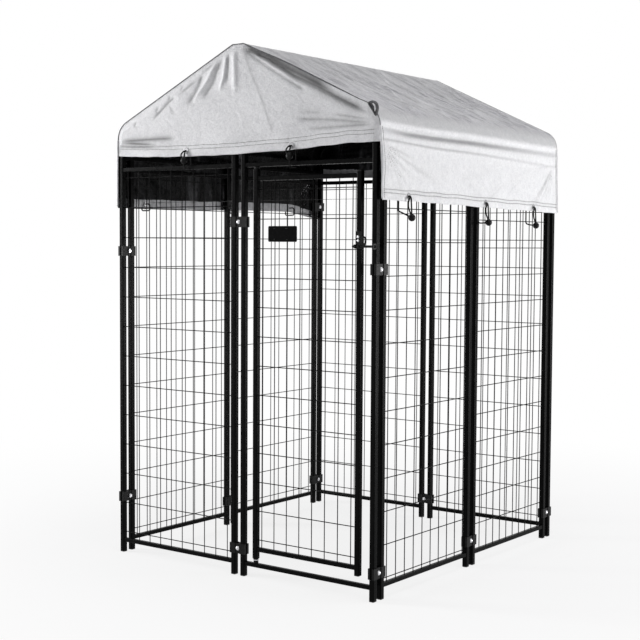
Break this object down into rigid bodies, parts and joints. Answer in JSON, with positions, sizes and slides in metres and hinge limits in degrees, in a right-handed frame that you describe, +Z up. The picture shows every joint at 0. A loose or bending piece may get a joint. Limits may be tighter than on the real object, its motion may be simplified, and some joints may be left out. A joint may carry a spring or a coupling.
{
  "type": "outdoor dog kennel run",
  "caption": "Welded-wire dog run of clamped square-tube panels with a swinging gate, a sliding latch and a silver fabric gable roof over a tube frame.",
  "frame": {"origin": "on the ground under the middle of the run", "axes": "+X to the right along the front, +Y to the back, +Z up; the gate and the front face -Y"},
  "size_m": [1.2408, 1.286, 1.829],
  "materials": {
    "black_powder_coat": "semi-gloss black powder coat on steel tube",
    "black_wire": "black powder coat on welded wire",
    "black_plastic": "matte black moulded plastic",
    "zinc_steel": "bright zinc plate",
    "black_sign": "bare black sheet",
    "silver_cloth": "woven coated cloth, silver grey outside, black inside",
    "elastic_cord": "braided black elastic cord"
  },
  "bodies": {
    "frame": {"front_left_frame": "black_powder_coat", "gate_panel_frame": "black_powder_coat", "right_front_frame": "black_powder_coat", "right_back_frame": "black_powder_coat", "back_right_frame": "black_powder_coat", "back_left_frame": "black_powder_coat", "left_back_frame": "black_powder_coat", "left_front_frame": "black_powder_coat", "front_left_mesh": "black_wire", "right_front_mesh": "black_wire", "right_back_mesh": "black_wire", "back_right_mesh": "black_wire", "back_left_mesh": "black_wire", "left_back_mesh": "black_wire", "left_front_mesh": "black_wire", "foot_plugs": "black_plastic", "post_top_plugs": "black_plastic", "hinge_bush_top": "black_powder_coat", "hinge_bush_bottom": "black_powder_coat", "hinge_washer": "zinc_steel", "latch_keeper": "black_powder_coat", "clamp_outer_plates": "black_powder_coat", "clamp_inner_plates": "black_powder_coat", "clamp_bolts": "zinc_steel", "clamp_nuts": "zinc_steel", "rafter_front_left": "black_powder_coat", "rafter_front_right": "black_powder_coat", "rafter_back_left": "black_powder_coat", "rafter_back_right": "black_powder_coat", "ridge_connector_front": "black_powder_coat", "ridge_connector_back": "black_powder_coat", "ridge_pole": "black_powder_coat", "eave_purlin_left": "black_powder_coat", "eave_purlin_right": "black_powder_coat", "purlin_screws": "zinc_steel", "roof_cover": "silver_cloth", "cover_grommets": "zinc_steel", "bungee_cords": "elastic_cord", "bungee_balls": "black_plastic"},
    "gate": {"gate_frame": "black_powder_coat", "gate_mesh": "black_wire", "gate_stile_plugs": "black_plastic", "hinge_pin_top": "black_powder_coat", "hinge_pin_bottom": "black_powder_coat", "latch_housing": "black_powder_coat", "latch_rivets": "zinc_steel", "sign_plate": "black_sign", "sign_ties": "black_plastic"},
    "latch": {"latch_bolt": "black_powder_coat"}
  },
  "joints": [
    {"name": "gate_swing", "type": "hinge", "parent": "frame", "child": "gate", "pos_m": [0.076, -0.607, 0.74], "axis": [0, 0, -1], "range_deg": [0, 135]},
    {"name": "latch_slide", "type": "slide", "parent": "gate", "child": "latch", "axis": [1, 0, 0], "range_m": [-0.004, 0.012]}
  ]
}
